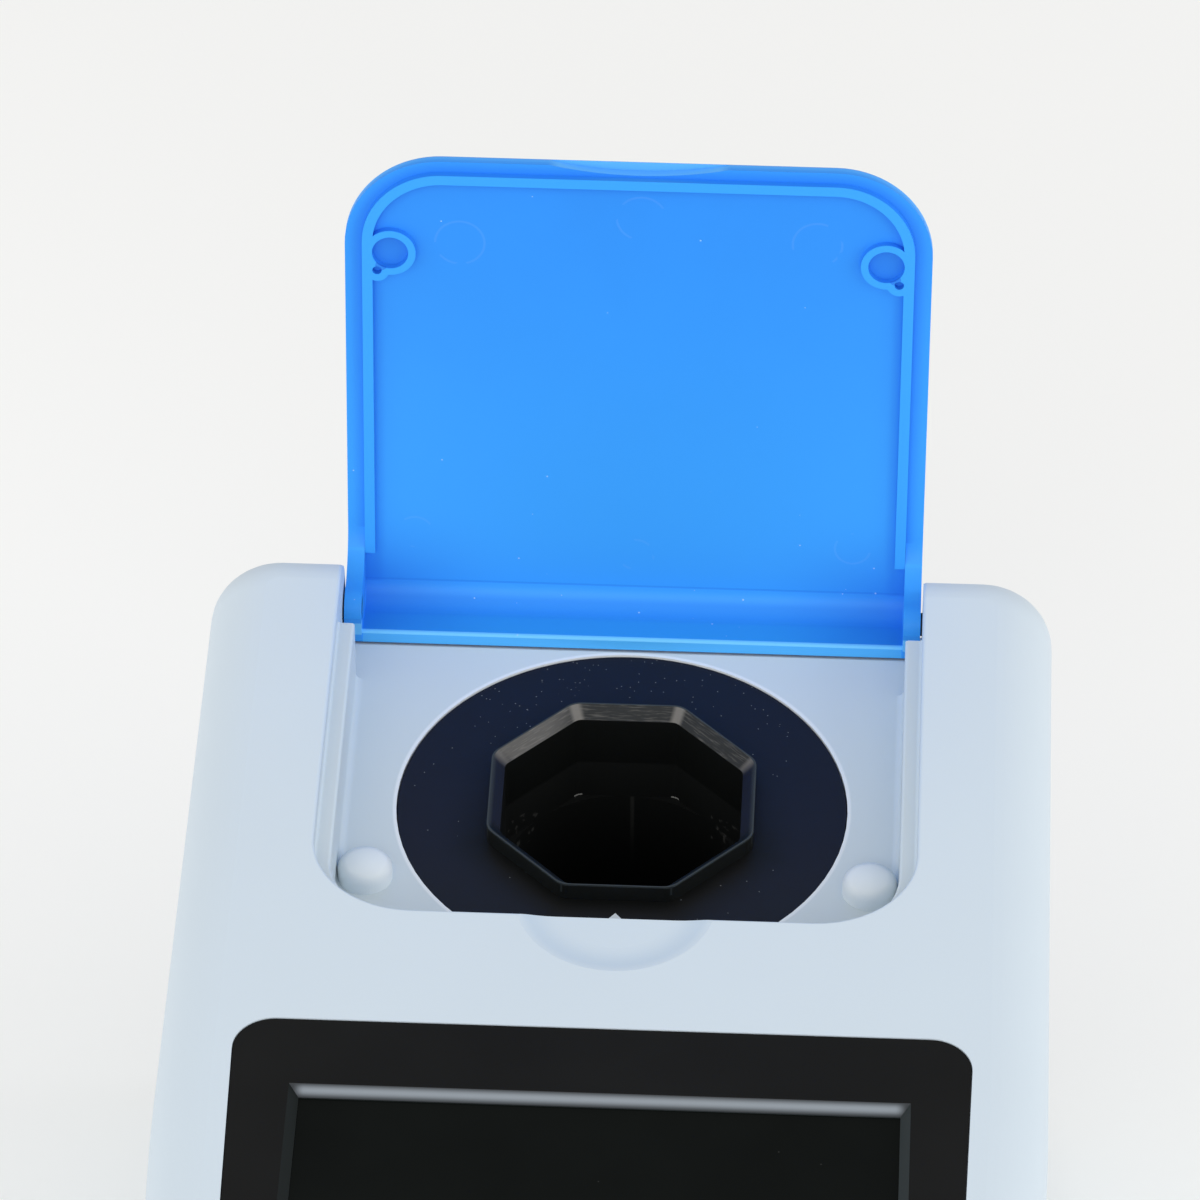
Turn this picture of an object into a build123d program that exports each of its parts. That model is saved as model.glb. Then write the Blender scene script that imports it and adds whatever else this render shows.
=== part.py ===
from build123d import *
import os
from math import cos, radians, sin

# Portable turbidity meter, standing on its rubber feet with the sample lid open.
# Millimetres, +Z up, +X to the right, the display end at -Y and the sample well at the rear.
# The flat top of the case is called the deck. It slopes down to the front, and most pieces are
# laid out on it: x to the right, y to the rear, z out of the deck, from the well's axis.

os.makedirs("parts", exist_ok=True)

# Case
case_half_width = 45.0
case_rear = 29.05
case_nose = -166.5
nose_half_width = 41.0
waist = -56.0
deck_tilt = 9.0
deck_height = 76.3
well_behind_middle = 61.715
foot_height = 2.0
wall = 2.4
deck_edge_radius = 6.0
base_edge_radius = 6.0
rear_corner_radius = 7.5
nose_corner_radius = 22.0
waist_radius = 250.0
seam = 30.0
seam_chamfer = 0.35
seal_outer_inset = 0.9
seal_inner_inset = 1.7
seal_half_height = 0.6

# Lid recess, its ledges and the finger scoop
recess_half_width = 31.13
recess_front = -27.2
recess_corner = 10.5
recess_depth = 10.4
recess_wall = 2.2
recess_floor = 4.4
ledge_depth = 2.4
ledge_half_width = 29.35
ledge_front = -26.1
ledge_corner = 8.7
ledge_rear = 18.7
recess_cove = 0.8
edge_softening = 0.35
hinge_relief = 11.3
scoop_radius = 10.3
scoop_flat_radius = 6.5
scoop_depth = 0.45
scoop_x = 0.45
scoop_y = -25.0

# Lid and hinge, given as the closed lid lies in the deck
open_angle = 97.5
hinge_y = 26.28
hinge_z = -6.88
lid_half_width = 30.93
lid_front = -26.95
lid_corner = 10.3
lid_plate = 1.8
lid_wall = 1.4
lid_wall_outer = 29.9
lid_wall_bottom = -8.15
lid_rear_radius = 4.6
lid_inner_radius = 2.6
lid_edge_radius = 0.9
lid_lip_radius = 0.35
cheek_inner = 29.1
cheek_boss_radius = 2.3
rib_height = 0.8
rib_thickness = 1.1
rib_side_inset = 1.85
rib_front_inset = 1.25
rib_end = 22.1
ring_x = 26.1
ring_y = -16.05
ring_outer = 2.7
ring_inner = 1.92
lobe_x = 1.4
lobe_y = 2.2
lobe_outer = 1.3
lobe_inner = 0.5
scallop_half_chord = 9.4
scallop_sagitta = 1.0
scallop_skin = 0.7
pin_radius = 1.25
pin_bore_radius = 1.3
pin_end = 36.5
pin_boss_radius = 3.2
trough_radius = 4.1

# Sample well
flange_radius = 23.67
flange_top = -10.6
flange_seat = -12.9
flange_gap = 0.13
spigot_radius = 20.3
spigot_bottom = -15.8
throat_radius = 20.5
flange_ring_outer = 23.27
flange_ring_inner = 20.8
flange_ring_depth = 0.6
collar_across = 28.0
mouth_across = 25.2
collar_corner = 2.0
mouth_corner = 1.2
collar_top = -8.5
collar_lead_in = 1.25
octagon_bottom = -20.7
well_radius = 12.65
well_bottom = -66.0
holder_half = 19.0
holder_bottom = -69.0
holder_plate_half = 25.0
holder_plate_thickness = 2.5
holder_screw_spot = 21.5
holder_screw_radius = 1.3
holder_screw_bite = 2.0
holder_head_radius = 2.4
holder_head_height = 1.8
optics_depth = -45.0
lens_radius = 3.1
lens_bore_radius = 3.15
lens_front = 13.3
lens_thickness = 1.9
lamp_radius = 2.5
lamp_front = 15.4
lamp_rim_radius = 2.9
detector_radius = 4.1
detector_bore_radius = 4.15
detector_length = 4.0
detector_eye_radius = 2.4
sensor_board_width = 24.0
sensor_board_height = 18.0
bumper_x = 26.35
bumper_y = -11.7
bumper_radius = 2.88
bumper_height = 2.0
bumper_round = 0.95
mark_tip = -15.9
mark_base = -19.0
mark_half_width = 2.5
mark_depth = 0.25

# Display
panel_top_edge = -43.6
panel_bottom_edge = -104.0
panel_half_top = 37.2
panel_half_bottom = 35.8
panel_corner = 4.2
panel_thickness = 1.2
panel_sink = 0.1
panel_gap = 0.1
panel_support_margin = 3.0
window_half_width = 30.1
window_rear = -53.6
window_front = -97.0
window_bevel = 1.05
display_opening_margin = 2.9
display_shelf_depth = 3.6
pane_thickness = 1.2
gasket_thickness = 0.7
glass_thickness = 1.8
backlight_thickness = 3.0
pane_margin = 2.6
gasket_margin = 2.4
glass_margin = 2.2
header_width = 44.0
header_depth = 4.0

# Keys
key_pitch_x = 25.0
key_pitch_y = 18.5
key_middle = -128.0
key_width = 17.0
key_length = 11.0
key_corner = 4.0
key_gap = 0.25
key_rise = 0.9
key_skirt = 1.0
key_skirt_thickness = 1.2
key_board_depth = 8.0
key_board_half = 36.0
key_board_length = 36.0
key_stem_radius = 2.6
key_stem_bottom = -5.1
key_seat_gap = 0.05
board_thickness = 1.6
board_clearance = 1.0
mat_thickness = 2.0
dome_radius = 4.0
dome_height = 0.6
dome_room = 0.5

# Boards, fasteners, cells and door
main_board_depth = 17.0
main_board_half = 33.0
main_board_rear = -42.0
main_board_front = -150.0
case_screw_spots = ((39.3, 8.0), (39.0, -64.0), (33.0, -149.0))
screw_radius = 1.45
screw_clearance = 0.2
screw_bite = 13.0
screw_head_radius = 2.9
screw_head_height = 2.4
screw_head_clearance = 0.3
screw_seat = 6.0
boss_radius = 3.9
column_radius = 4.6
board_screw_radius = 1.2
board_screw_head_radius = 2.1
board_screw_head_height = 1.4
board_screw_bite = 3.0
board_boss_radius = 2.6
key_screw_x = 12.5
key_screw_y = 16.0
main_screw_x = 29.0
main_screw_rows = (-46.0, -106.0)
chip_height = 1.6
chips = ((-12, -62, 12, 12), (12, -64, 8, 10), (0, -84, 16, 7), (-20, -86, 6, 9))
cell_radius = 7.25
cell_length = 49.2
cell_pitch = 15.4
bay_rear = -60.5
bay_front = -116.5
bay_half_width = 23.8
bay_ceiling = 20.4
bay_wall = 1.6
cell_edge_radius = 0.6
cell_button_radius = 2.7
cell_button_height = 1.2
contact_width = 11.0
contact_height = 10.0
contact_thickness = 0.5
spring_base_radius = 3.4
spring_tip_radius = 2.0
door_thickness = 1.3
door_margin = 2.2
door_gap = 0.2
door_pin_radius = 0.45
door_pin_bore_radius = 0.5
door_pin_length = 1.4
door_rib_height = 1.0
door_rib_thickness = 1.2
door_rib_margin = 2.0
foot_radius = 5.0
foot_recess = 0.8
foot_chamfer = 0.5
foot_places = ((31.0, 88.0), (22.5, -82.0))

well_y = well_behind_middle
slope = radians(deck_tilt)
lid_lean = radians(open_angle - deck_tilt)

deck = Plane(origin=(0, well_y, deck_height), x_dir=(1, 0, 0), z_dir=(0, -sin(slope), cos(slope)))
deck_up = Axis(deck.origin, deck.z_dir)
hinge = deck.from_local_coords(Vector(0, hinge_y, hinge_z))
lid_at_hinge = Plane(origin=hinge, x_dir=(1, 0, 0), z_dir=(0, sin(lid_lean), cos(lid_lean)))
lid_frame = Plane(
    origin=lid_at_hinge.from_local_coords(Vector(0, -hinge_y, -hinge_z)),
    x_dir=lid_at_hinge.x_dir,
    z_dir=lid_at_hinge.z_dir,
)


def side_of(frame, x=0.0):
    """A plane across a frame at x, whose own x and y are the frame's y and z."""
    origin = frame.from_local_coords(Vector(x, 0, 0))
    return Plane(origin=origin, x_dir=frame.y_dir, z_dir=frame.x_dir)


def save(piece, name):
    """Label a finished piece and write it out."""
    piece.label = name
    export_step(piece, f"parts/{name}.step")


def case_outline(inset):
    """The case seen square to its deck, pulled in by an inset."""
    corners = (
        (-case_half_width, case_rear),
        (case_half_width, case_rear),
        (case_half_width, waist),
        (nose_half_width, case_nose),
        (-nose_half_width, case_nose),
        (-case_half_width, waist),
    )
    with BuildSketch() as outline:
        with BuildLine():
            Polyline(*corners, close=True)
        make_face()
        fillet(outline.vertices().group_by(Axis.Y)[-1], rear_corner_radius)
        fillet(outline.vertices().group_by(Axis.Y)[0], nose_corner_radius)
        waist_corners = [v for v in outline.vertices() if abs(v.Y - waist) < 0.01]
        fillet(waist_corners, waist_radius)
        if inset:
            offset(amount=-inset)
    return outline.sketch


def case_form(inset):
    """The whole case as one block, or its hollow where it is inset by the wall."""
    outline = case_outline(inset)
    with BuildPart() as form:
        with BuildSketch(deck.offset(-inset)):
            add(outline)
        extrude(amount=-2 * deck_height)
        split(bisect_by=Plane.XY.offset(foot_height + inset), keep=Keep.TOP)
        fillet(form.faces().sort_by(Axis.Z)[0].edges(), base_edge_radius - inset)
        fillet(form.faces().sort_by(deck_up)[-1].edges(), deck_edge_radius - inset)
    return form.part


def pocket_outline(half_width, front, corner, rear):
    """A rectangle with its two front corners rounded."""
    with BuildSketch() as outline:
        with Locations((0, (front + rear) / 2)):
            Rectangle(2 * half_width, rear - front)
        fillet(outline.vertices().group_by(Axis.Y)[0], corner)
    return outline.sketch


def panel_outline(margin):
    """The display panel's outline, a little narrower at the front."""
    corners = (
        (-panel_half_top, panel_top_edge),
        (panel_half_top, panel_top_edge),
        (panel_half_bottom, panel_bottom_edge),
        (-panel_half_bottom, panel_bottom_edge),
    )
    with BuildSketch() as outline:
        with BuildLine():
            Polyline(*corners, close=True)
        make_face()
        fillet(outline.vertices(), panel_corner)
        if margin:
            offset(amount=margin)
    return outline.sketch


def recess_edges(case, depth):
    """The edges round the lid recess, or round its ledge or floor, at a depth under the deck."""
    found = []
    for edge in case.edges():
        middle = deck.to_local_coords(edge.center())
        inside = abs(middle.X) < recess_half_width + 0.01 and recess_front - 0.01 < middle.Y < ledge_rear
        if inside and abs(middle.Z + depth) < 0.01:
            found.append(edge)
    return found


def octagon_outline(across, corner):
    """A regular octagon with a flat to the front, its corners softened."""
    with BuildSketch() as outline:
        RegularPolygon(radius=across / 2, side_count=8, major_radius=False, rotation=22.5)
        fillet(outline.vertices(), corner)
    return outline.sketch


case_block = case_form(0)
case_hollow = case_form(wall)
seal_outer = case_outline(seal_outer_inset)
seal_inner = case_outline(seal_inner_inset)
recess_outline = pocket_outline(recess_half_width, recess_front, recess_corner, 3 * case_rear)
ledge_outline = pocket_outline(ledge_half_width, ledge_front, ledge_corner, 3 * case_rear)
tub_outline = pocket_outline(
    recess_half_width + recess_wall, recess_front - recess_wall, recess_corner + recess_wall, 3 * case_rear
)
panel_edge = panel_outline(0)
panel_pocket = panel_outline(panel_gap)
panel_support = panel_outline(panel_support_margin)
collar_outline = octagon_outline(collar_across, collar_corner)
mouth_outline = octagon_outline(mouth_across, mouth_corner)
both_sides = (-1, 1)
bumper_spots = [(side * bumper_x, bumper_y) for side in both_sides]
scoop_rim_width = scoop_radius - scoop_flat_radius
scoop_rim_curve = -(scoop_rim_width**2 + scoop_depth**2) / (2 * scoop_depth)
tub_underside = -(recess_depth + recess_floor)
foot_spots = [(side * x, y) for x, y in foot_places for side in both_sides]
bay_start = well_y + bay_front
bay_end = well_y + bay_rear
bay_middle = (bay_start + bay_end) / 2
door_half_width = bay_half_width + door_margin - door_gap
door_rear = bay_end + door_margin - door_gap
door_hinge_y = bay_start - door_margin + door_gap + door_thickness / 2
door_hinge_z = foot_height + door_thickness / 2
window_middle = (window_rear + window_front) / 2
window_length = window_rear - window_front
opening_width = 2 * (window_half_width + display_opening_margin)
opening_length = window_length + 2 * display_opening_margin
key_columns = (-key_pitch_x, 0.0, key_pitch_x)
key_lines = (key_middle + key_pitch_y / 2, key_middle - key_pitch_y / 2)
key_spots = [(x, y) for y in key_lines for x in key_columns]
screw_spots = [(side * x, y) for x, y in case_screw_spots for side in both_sides]
front_screw_spots = screw_spots[-2:]
key_screw_lines = (key_middle + key_screw_y, key_middle - key_screw_y)
key_screw_spots = [(side * key_screw_x, y) for side in both_sides for y in key_screw_lines]
main_screw_spots = [(side * main_screw_x, y) for side in both_sides for y in main_screw_rows]
board_limit = case_outline(wall + board_clearance)

# Seal: a soft ring in matching grooves of the two shells.
with BuildPart() as case_seal:
    with BuildSketch(deck.offset(-seam - seal_half_height)):
        add(seal_outer)
        add(seal_inner, mode=Mode.SUBTRACT)
    extrude(amount=2 * seal_half_height)
save(case_seal.part, "case_seal")

# The tub that carries the lid recess, kept inside the case's own rounded skin.
with BuildPart() as tub:
    add(case_block)
    with BuildSketch(deck):
        add(tub_outline)
    extrude(amount=-(recess_depth + recess_floor), mode=Mode.INTERSECT)

# Screw columns that stand on the base, cut to the case's own form.
with BuildPart() as columns:
    with BuildSketch(deck.offset(-seam)):
        with Locations(*screw_spots):
            Circle(column_radius)
    extrude(amount=-deck_height)
    add(case_block, mode=Mode.INTERSECT)

# Upper case: the moulded shell with the deck, the recess, the ears beside it and the display pocket.
with BuildPart() as upper_case:
    add(case_block)
    split(bisect_by=deck.offset(-seam), keep=Keep.TOP)
    chamfer(upper_case.faces().sort_by(deck_up)[0].edges(), seam_chamfer)
    add(case_hollow, mode=Mode.SUBTRACT)
    add(tub.part)
    with BuildSketch(deck.offset(-wall)):
        add(panel_support)
    extrude(amount=-(display_shelf_depth - wall))
    with BuildSketch(deck.offset(-seam + seal_half_height)):
        with Locations(*screw_spots):
            Circle(boss_radius)
    extrude(until=Until.NEXT)
    for spots, depth in ((key_screw_spots, key_board_depth), (main_screw_spots, main_board_depth)):
        with BuildSketch(deck.offset(-depth)):
            with Locations(*spots):
                Circle(board_boss_radius)
        extrude(until=Until.NEXT)
    # recess: full width over the ledge, narrower inside it, full width again at the hinge
    with BuildSketch(deck):
        add(recess_outline)
    extrude(amount=-ledge_depth, mode=Mode.SUBTRACT)
    with BuildSketch(deck):
        add(ledge_outline)
    extrude(amount=-recess_depth, mode=Mode.SUBTRACT)
    fillet(recess_edges(upper_case, recess_depth), recess_cove)
    fillet(recess_edges(upper_case, ledge_depth), edge_softening)
    fillet(recess_edges(upper_case, 0), edge_softening)
    with BuildSketch(deck):
        with Locations((0, ledge_rear + case_rear)):
            Rectangle(2 * recess_half_width, 2 * case_rear)
    extrude(amount=-recess_depth, mode=Mode.SUBTRACT)
    with BuildSketch(deck.offset(-recess_depth)):
        with Locations(*bumper_spots):
            Circle(bumper_radius)
    extrude(amount=recess_cove, mode=Mode.SUBTRACT)
    with BuildSketch(side_of(deck, -recess_half_width)):
        with Locations((hinge_y, hinge_z)):
            Circle(trough_radius)
        with Locations((hinge_y + case_rear, -hinge_relief + case_rear)):
            Rectangle(2 * case_rear, 2 * case_rear)
    extrude(amount=2 * recess_half_width, mode=Mode.SUBTRACT)
    # round seat for the well flange
    with BuildSketch(deck.offset(flange_seat)):
        Circle(flange_radius + flange_gap)
    extrude(amount=recess_depth, mode=Mode.SUBTRACT)
    with BuildSketch(deck.offset(flange_seat)):
        Circle(throat_radius)
    extrude(amount=-recess_floor, mode=Mode.SUBTRACT)
    with BuildSketch(deck.offset(flange_seat)):
        Circle(flange_ring_outer)
        Circle(flange_ring_inner, mode=Mode.SUBTRACT)
    extrude(amount=-flange_ring_depth, mode=Mode.SUBTRACT)
    with BuildSketch(deck.offset(tub_underside)):
        with GridLocations(2 * holder_screw_spot, 2 * holder_screw_spot, 2, 2):
            Circle(holder_screw_radius)
    extrude(amount=holder_screw_bite, mode=Mode.SUBTRACT)
    # bosses and bores for the hinge pins
    for side in both_sides:
        with BuildSketch(side_of(deck, side * (recess_half_width + recess_wall))):
            with Locations((hinge_y, hinge_z)):
                Circle(pin_boss_radius)
        extrude(amount=side * (pin_end - recess_half_width - recess_wall + 1))
        with BuildSketch(side_of(deck, side * (recess_half_width - 1))):
            with Locations((hinge_y, hinge_z)):
                Circle(pin_radius)
        extrude(amount=side * (pin_end - recess_half_width + 1), mode=Mode.SUBTRACT)
    add(case_block, mode=Mode.INTERSECT)
    # finger scoop in front of the recess: a flat floor that curves up to a crisp rim
    with BuildSketch(side_of(deck, scoop_x)):
        with BuildLine():
            Line((scoop_y, -scoop_depth), (scoop_y + scoop_flat_radius, -scoop_depth))
            RadiusArc(
                (scoop_y + scoop_flat_radius, -scoop_depth), (scoop_y + scoop_radius, 0), scoop_rim_curve
            )
            Line((scoop_y + scoop_radius, 0), (scoop_y, 0))
            Line((scoop_y, 0), (scoop_y, -scoop_depth))
        make_face()
    revolve(axis=Axis(deck.from_local_coords(Vector(scoop_x, scoop_y, 0)), deck.z_dir), mode=Mode.SUBTRACT)
    # display pocket and its opening
    with BuildSketch(deck.offset(-panel_thickness - panel_sink)):
        add(panel_pocket)
    extrude(amount=wall, mode=Mode.SUBTRACT)
    with BuildSketch(deck):
        with Locations((0, window_middle)):
            Rectangle(opening_width, opening_length)
    extrude(amount=-2 * display_shelf_depth, mode=Mode.SUBTRACT)
    # key openings
    with BuildSketch(deck):
        with Locations(*key_spots):
            RectangleRounded(key_width + 2 * key_gap, key_length + 2 * key_gap, key_corner + key_gap)
    extrude(amount=-wall, mode=Mode.SUBTRACT)
    # screw holes
    with BuildSketch(deck.offset(-seam)):
        with Locations(*screw_spots):
            Circle(screw_radius)
    extrude(amount=screw_bite, mode=Mode.SUBTRACT)
    for spots, depth in ((key_screw_spots, key_board_depth), (main_screw_spots, main_board_depth)):
        with BuildSketch(deck.offset(-depth)):
            with Locations(*spots):
                Circle(board_screw_radius)
        extrude(amount=board_screw_bite, mode=Mode.SUBTRACT)
    add(case_seal.part, mode=Mode.SUBTRACT)
save(upper_case.part, "upper_case")

# Lower case: the shell with the battery bay, the screw columns and the foot recesses.
with BuildPart() as lower_case:
    add(case_block)
    split(bisect_by=deck.offset(-seam), keep=Keep.BOTTOM)
    chamfer(lower_case.faces().sort_by(deck_up)[-1].edges(), seam_chamfer)
    add(case_hollow, mode=Mode.SUBTRACT)
    add(columns.part)
    with BuildSketch(Plane.XY.offset(foot_height)):
        with Locations((0, bay_middle)):
            Rectangle(2 * (bay_half_width + bay_wall), bay_rear - bay_front + 2 * bay_wall)
    extrude(amount=bay_ceiling + bay_wall - foot_height)
    add(case_block, mode=Mode.INTERSECT)
    with BuildSketch(Plane.XY.offset(foot_height)):
        with Locations((0, bay_middle)):
            Rectangle(2 * bay_half_width, bay_rear - bay_front)
    extrude(amount=bay_ceiling - foot_height, mode=Mode.SUBTRACT)
    with BuildSketch(Plane.XY.offset(foot_height)):
        with Locations((0, bay_middle)):
            Rectangle(2 * (bay_half_width + door_margin), bay_rear - bay_front + 2 * door_margin)
    extrude(amount=door_thickness + door_gap, mode=Mode.SUBTRACT)
    with BuildSketch(deck.offset(-seam)):
        with Locations(*screw_spots):
            Circle(screw_radius + screw_clearance)
    extrude(amount=-2 * deck_height, mode=Mode.SUBTRACT)
    with BuildSketch(deck.offset(-seam - screw_seat)):
        with Locations(*screw_spots):
            Circle(screw_head_radius + screw_head_clearance)
    extrude(amount=-2 * deck_height, mode=Mode.SUBTRACT)
    with BuildSketch(Plane.YZ):
        with Locations((door_hinge_y, door_hinge_z)):
            Circle(door_pin_bore_radius)
    extrude(amount=door_half_width + door_pin_length + door_gap, both=True, mode=Mode.SUBTRACT)
    with BuildSketch(Plane.XY.offset(foot_height)):
        with Locations(*foot_spots):
            Circle(foot_radius)
    extrude(amount=foot_recess, mode=Mode.SUBTRACT)
    add(case_seal.part, mode=Mode.SUBTRACT)
save(lower_case.part, "lower_case")

# Lid, built closed in its own frame: plate, curved rear wall and the cheeks that carry the hinge.
lid_side = side_of(lid_frame)
lid_up = Axis(lid_frame.origin, lid_frame.z_dir)
lid_to_rear = Axis(lid_frame.origin, lid_frame.y_dir)
lid_plan = pocket_outline(lid_half_width, lid_front, lid_corner, lid_wall_outer)
rib_half_width = lid_half_width - rib_side_inset
rib_front = lid_front + rib_front_inset
rib_corner = lid_corner - rib_side_inset
rib_outer = pocket_outline(rib_half_width, rib_front, rib_corner, rib_end)
rib_inner = pocket_outline(
    rib_half_width - rib_thickness, rib_front + rib_thickness, rib_corner - rib_thickness, rib_end
)
scallop_radius = (scallop_half_chord**2 + scallop_sagitta**2) / (2 * scallop_sagitta)
wall_inner = lid_wall_outer - lid_wall
sweep_radius = -lid_plate - hinge_z
boss_front = hinge_y - cheek_boss_radius
boss_bottom = hinge_z - cheek_boss_radius
with BuildPart() as lid:
    with BuildSketch(lid_frame):
        add(lid_plan)
    extrude(amount=boss_bottom)
    rear_edges = lid.edges().filter_by(Axis.X).sort_by(lid_to_rear)[-2:]
    fillet(rear_edges.sort_by(lid_up)[-1], lid_rear_radius)
    plate_face = lid.faces().sort_by(lid_up)[-1]
    rear_face = lid.faces().filter_by(lid_to_rear).sort_by(lid_to_rear)[-1]
    curve_face = lid.faces().filter_by(GeomType.CYLINDER).sort_by(lid_to_rear)[-1]
    straight_across = lid.edges().filter_by(Axis.X)
    skin_edges = plate_face.edges() + rear_face.edges() + curve_face.edges()
    rounded = [edge for edge in skin_edges if edge not in straight_across]
    fillet(rounded + [plate_face.edges().sort_by(lid_to_rear)[0]], lid_edge_radius)
    # hollow between the cheeks
    with BuildSketch(lid_side):
        with BuildLine():
            Polyline(
                (2 * lid_front, -lid_plate),
                (wall_inner, -lid_plate),
                (wall_inner, lid_wall_bottom),
                (2 * lid_wall_outer, lid_wall_bottom),
                (2 * lid_wall_outer, 2 * lid_wall_bottom),
                (2 * lid_front, 2 * lid_wall_bottom),
                close=True,
            )
        make_face()
    extrude(amount=cheek_inner, both=True, mode=Mode.SUBTRACT)
    # the cheeks sweep down from the plate into the round bosses on the pins
    with BuildSketch(lid_side):
        with BuildLine():
            Line((2 * lid_front, 2 * lid_wall_bottom), (2 * lid_front, -lid_plate))
            Line((2 * lid_front, -lid_plate), (boss_front - sweep_radius, -lid_plate))
            RadiusArc((boss_front - sweep_radius, -lid_plate), (boss_front, hinge_z), sweep_radius)
            RadiusArc((boss_front, hinge_z), (hinge_y, boss_bottom), -cheek_boss_radius)
            Line((hinge_y, boss_bottom), (lid_wall_outer, lid_wall_bottom))
            Line((lid_wall_outer, lid_wall_bottom), (lid_wall_outer, 2 * lid_wall_bottom))
            Line((lid_wall_outer, 2 * lid_wall_bottom), (2 * lid_front, 2 * lid_wall_bottom))
        make_face()
    extrude(amount=2 * lid_half_width, both=True, mode=Mode.SUBTRACT)
    for height, radius in ((-lid_plate, lid_inner_radius), (lid_wall_bottom, lid_lip_radius)):
        place = lid_frame.from_local_coords(Vector(0, wall_inner, height))
        fillet(lid.edges().filter_by(Axis.X).sort_by_distance(place)[0], radius)
    # rib, rings and the little lobe beside each ring
    with BuildSketch(lid_frame.offset(-lid_plate - rib_height)):
        add(rib_outer)
        add(rib_inner, mode=Mode.SUBTRACT)
        for side in both_sides:
            with Locations((side * ring_x, ring_y)):
                Circle(ring_outer)
            with Locations((side * (ring_x + lobe_x), ring_y + lobe_y)):
                Circle(lobe_outer)
            with Locations((side * ring_x, ring_y)):
                Circle(ring_inner, mode=Mode.SUBTRACT)
            with Locations((side * (ring_x + lobe_x), ring_y + lobe_y)):
                Circle(lobe_inner, mode=Mode.SUBTRACT)
    extrude(amount=rib_height)
    # thumb scallop under the front edge
    with BuildSketch(lid_frame.offset(-scallop_skin)):
        with Locations((0, lid_front + scallop_sagitta - scallop_radius)):
            Circle(scallop_radius)
    extrude(amount=-lid_plate, mode=Mode.SUBTRACT)
    with BuildSketch(lid_side):
        with Locations((hinge_y, hinge_z)):
            Circle(pin_bore_radius)
    extrude(amount=2 * lid_half_width, both=True, mode=Mode.SUBTRACT)
save(lid.part, "lid")

# Hinge pins: a short steel pin pressed into each ear, with the lid's cheek turning on it.
with BuildPart() as hinge_pins:
    for side in both_sides:
        with BuildSketch(side_of(deck, side * (cheek_inner + 0.1))):
            with Locations((hinge_y, hinge_z)):
                Circle(pin_radius)
        extrude(amount=side * (pin_end - cheek_inner - 0.1))
save(hinge_pins.part, "hinge_pins")

# Well flange: the black disc, its octagonal collar with a lead-in, and the spigot under it.
with BuildPart() as well_flange:
    with BuildSketch(deck.offset(flange_seat)):
        Circle(flange_radius)
    extrude(amount=flange_top - flange_seat)
    with BuildSketch(deck.offset(flange_top)):
        add(collar_outline)
    extrude(amount=collar_top - flange_top)
    with BuildSketch(deck.offset(spigot_bottom)):
        Circle(spigot_radius)
    extrude(amount=flange_seat - spigot_bottom)
    with BuildSketch(deck.offset(spigot_bottom)):
        add(mouth_outline)
    extrude(amount=2 * (collar_top - spigot_bottom), mode=Mode.SUBTRACT)
    mouth_edges = well_flange.faces().sort_by(deck_up)[-1].inner_wires().edges()
    chamfer(mouth_edges, collar_lead_in)
    with BuildSketch(deck.offset(flange_top - mark_depth)):
        with BuildLine():
            Polyline((0, mark_tip), (-mark_half_width, mark_base), (mark_half_width, mark_base), close=True)
        make_face()
    extrude(amount=1, mode=Mode.SUBTRACT)
save(well_flange.part, "well_flange")

# Index mark: a small white triangle set into the flange, pointing at the well.
with BuildPart() as index_mark:
    with BuildSketch(deck.offset(flange_top - mark_depth)):
        with BuildLine():
            Polyline((0, mark_tip), (-mark_half_width, mark_base), (mark_half_width, mark_base), close=True)
        make_face()
    extrude(amount=mark_depth)
save(index_mark.part, "index_mark")

# Bumpers: soft domed posts that stand on the recess floor.
for name, side in (("bumper_left", -1), ("bumper_right", 1)):
    with BuildPart() as bumper:
        with BuildSketch(deck.offset(-recess_depth)):
            with Locations((side * bumper_x, bumper_y)):
                Circle(bumper_radius)
        extrude(amount=bumper_height)
        fillet(bumper.faces().sort_by(deck_up)[-1].edges(), bumper_round)
    save(bumper.part, name)

# Cell holder: the dark block that locates the sample vial and carries the optics round it.
cross_x = Plane(deck.from_local_coords(Vector(0, 0, optics_depth)), x_dir=deck.y_dir, z_dir=deck.x_dir)
cross_y = Plane(deck.from_local_coords(Vector(0, 0, optics_depth)), x_dir=deck.x_dir, z_dir=deck.y_dir)
with BuildPart() as cell_holder:
    with BuildSketch(deck.offset(holder_bottom)):
        RectangleRounded(2 * holder_half, 2 * holder_half, 3)
    extrude(amount=tub_underside - holder_bottom)
    with BuildSketch(deck.offset(tub_underside)):
        RectangleRounded(2 * holder_plate_half, 2 * holder_plate_half, 3)
    extrude(amount=-holder_plate_thickness)
    with BuildSketch(deck.offset(spigot_bottom)):
        Circle(spigot_radius + 0.1)
    extrude(amount=2, mode=Mode.SUBTRACT)
    with BuildSketch(deck.offset(octagon_bottom)):
        add(mouth_outline)
    extrude(amount=10, mode=Mode.SUBTRACT)
    with BuildSketch(deck.offset(well_bottom)):
        Circle(well_radius)
    extrude(amount=octagon_bottom - well_bottom, mode=Mode.SUBTRACT)
    with BuildSketch(cross_x):
        Circle(lens_bore_radius)
    extrude(amount=holder_half, mode=Mode.SUBTRACT)
    with BuildSketch(cross_x):
        Circle(detector_bore_radius)
    extrude(amount=-holder_half, mode=Mode.SUBTRACT)
    with BuildSketch(cross_y):
        Circle(detector_bore_radius)
    extrude(amount=holder_half, mode=Mode.SUBTRACT)
    with BuildSketch(deck.offset(tub_underside)):
        with GridLocations(2 * holder_screw_spot, 2 * holder_screw_spot, 2, 2):
            Circle(holder_screw_radius)
    extrude(amount=-holder_plate_thickness, mode=Mode.SUBTRACT)
save(cell_holder.part, "cell_holder")

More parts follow.
